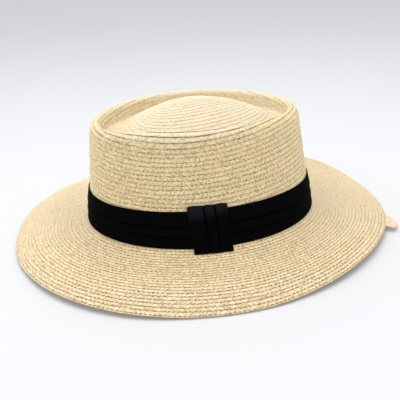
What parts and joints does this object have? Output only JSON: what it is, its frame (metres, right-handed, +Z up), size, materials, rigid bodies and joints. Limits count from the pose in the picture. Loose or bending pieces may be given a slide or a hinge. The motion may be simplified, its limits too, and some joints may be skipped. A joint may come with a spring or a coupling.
{
  "type": "gambler hat",
  "caption": "Straw gambler hat with a telescope crown, broad rolled brim and a pleated black cloth band with a flat side loop.",
  "frame": {"origin": "on the surface that the hat stands on, under the middle of the brim's outline", "axes": "+Z up out of the crown's top, X along the long axis of the head with the front towards -X, the band's loop towards -Y"},
  "size_m": [0.335, 0.3058, 0.1147],
  "materials": {
    "straw_crown": "natural paper straw braid, sewn in rows, slight sheen",
    "straw_brim": "natural paper straw braid, sewn in rows, slight sheen",
    "band_cloth": "matt black plain weave",
    "loop_cloth": "matt black plain weave"
  },
  "bodies": {
    "root": {"crown": "straw_crown", "brim": "straw_brim", "hat_band": "band_cloth", "band_loop": "loop_cloth"}
  },
  "joints": []
}
